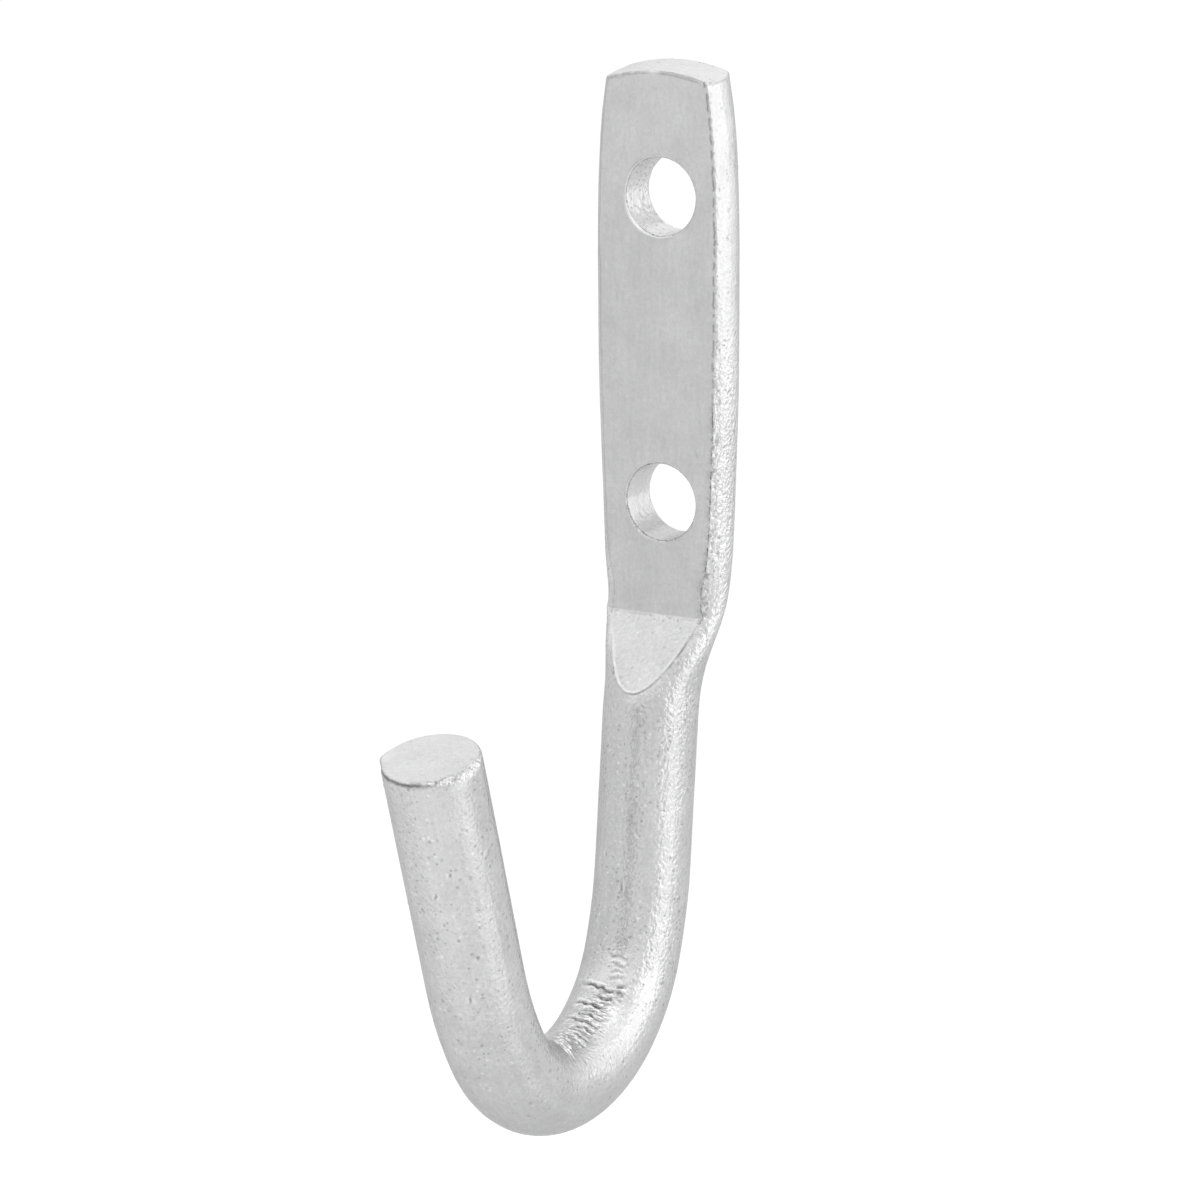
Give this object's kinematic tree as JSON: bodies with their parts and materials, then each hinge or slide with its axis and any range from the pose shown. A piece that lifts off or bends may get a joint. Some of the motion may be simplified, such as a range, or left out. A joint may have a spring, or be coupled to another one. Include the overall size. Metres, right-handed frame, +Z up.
{
  "type": "rope tie hook",
  "caption": "J-shaped rope tie hook bent from round steel bar, with a flattened upper palm drilled for two wall bolts.",
  "frame": {"origin": "on the wall face of the palm, in the hook's middle plane, at the height midway between the two bolt holes", "axes": "+Z up along the palm, +Y into the wall, X across the palm; the hook opens towards -Y"},
  "size_m": [0.015, 0.0523, 0.1021],
  "materials": {
    "zinc_coated_steel": "dull zinc coating over forged steel, satin, with fine grain and small pits"
  },
  "bodies": {
    "root": {"rope_hook": "zinc_coated_steel"}
  },
  "joints": []
}
